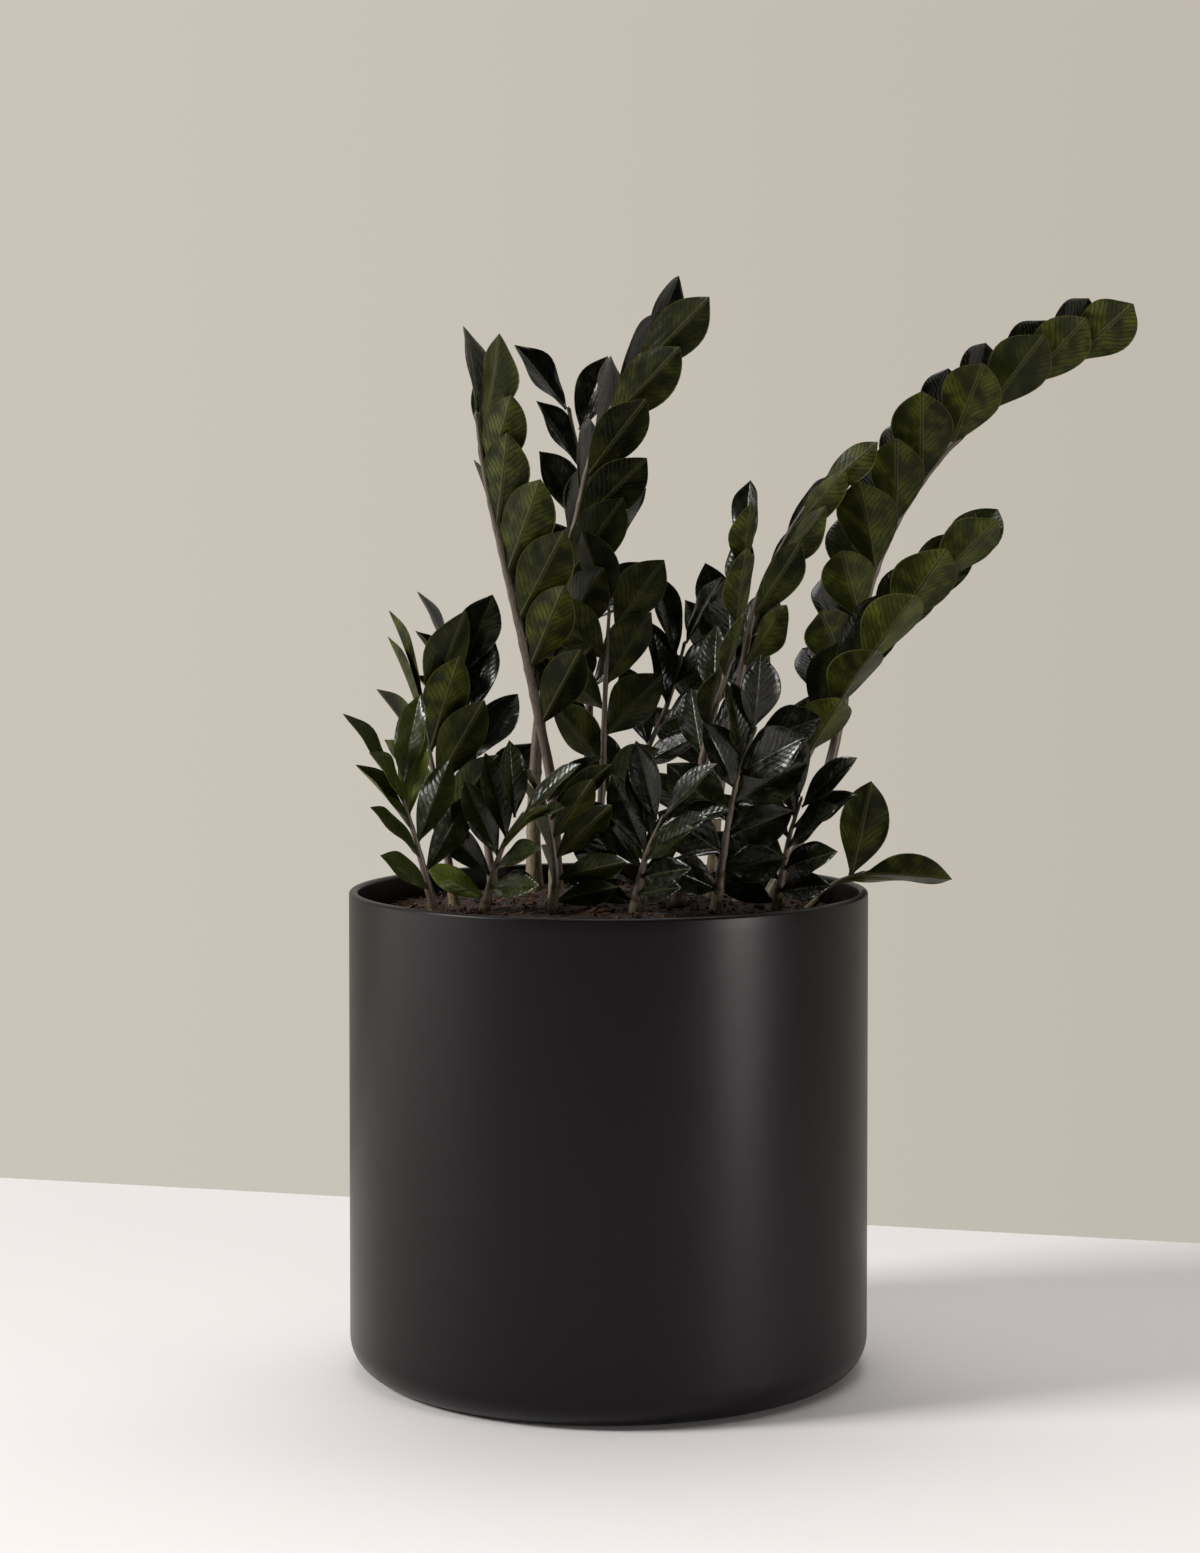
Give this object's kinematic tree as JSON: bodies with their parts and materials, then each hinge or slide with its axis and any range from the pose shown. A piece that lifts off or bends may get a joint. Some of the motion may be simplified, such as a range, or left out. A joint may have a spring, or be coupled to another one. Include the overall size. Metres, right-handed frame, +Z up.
{
  "type": "potted zz plant",
  "caption": "Dark-leaved zz plant in a round satin-black planter: upright and arching fronds of glossy leaflets over potting mix.",
  "frame": {"origin": "centre of the planter's flat underside", "axes": "+Z up along the planter's axis, -Y towards the viewer, the long arching frond leans towards +X"},
  "size_m": [0.4584, 0.3, 0.6389],
  "materials": {
    "pot": "satin black, moulded",
    "mix": "loose fibrous potting mix",
    "frond": "glossy dark green leaflets on speckled taupe stems",
    "leaf": "glossy dark green, paler matte underside"
  },
  "bodies": {
    "root": {"centre_back": "frond", "centre_back_leaf_1": "leaf", "centre_back_leaf_2": "leaf", "left_low": "frond", "left_low_leaf_1": "leaf", "left_low_leaf_2": "leaf", "left_short": "frond", "left_short_leaf_1": "leaf", "left_short_leaf_2": "leaf", "left_sprig": "frond", "left_sprig_leaf_1": "leaf", "left_sprig_leaf_2": "leaf", "low_back_left": "frond", "low_back_left_leaf_1": "leaf", "low_back_left_leaf_2": "leaf", "low_back_right": "frond", "low_back_right_leaf_1": "leaf", "low_back_right_leaf_2": "leaf", "low_centre": "frond", "low_centre_leaf_1": "leaf", "low_centre_leaf_2": "leaf", "low_right": "frond", "low_right_centre": "frond", "low_right_centre_leaf_1": "leaf", "low_right_centre_leaf_2": "leaf", "low_right_leaf_1": "leaf", "low_right_leaf_2": "leaf", "low_sprig": "frond", "low_sprig_leaf_1": "leaf", "mid_centre": "frond", "mid_centre_leaf_1": "leaf", "mid_centre_leaf_2": "leaf", "mid_right_back": "frond", "mid_right_back_leaf_1": "leaf", "mid_right_back_leaf_2": "leaf", "mid_right_front": "frond", "mid_right_front_leaf_1": "leaf", "mid_right_front_leaf_2": "leaf", "pot": "pot", "potting_mix": "mix", "right_arch": "frond", "right_arch_leaf_1": "leaf", "right_arch_leaf_2": "leaf", "right_front": "frond", "right_front_leaf_1": "leaf", "right_front_leaf_2": "leaf", "rim_sprig": "frond", "rim_sprig_leaf_1": "leaf", "round_cluster": "frond", "round_cluster_leaf_1": "leaf", "round_cluster_leaf_2": "leaf", "tall_back": "frond", "tall_back_leaf_1": "leaf", "tall_back_leaf_2": "leaf", "tall_centre": "frond", "tall_centre_leaf_1": "leaf", "tall_centre_leaf_2": "leaf", "tall_left": "frond", "tall_left_leaf_1": "leaf", "tall_left_leaf_2": "leaf"}
  },
  "joints": []
}
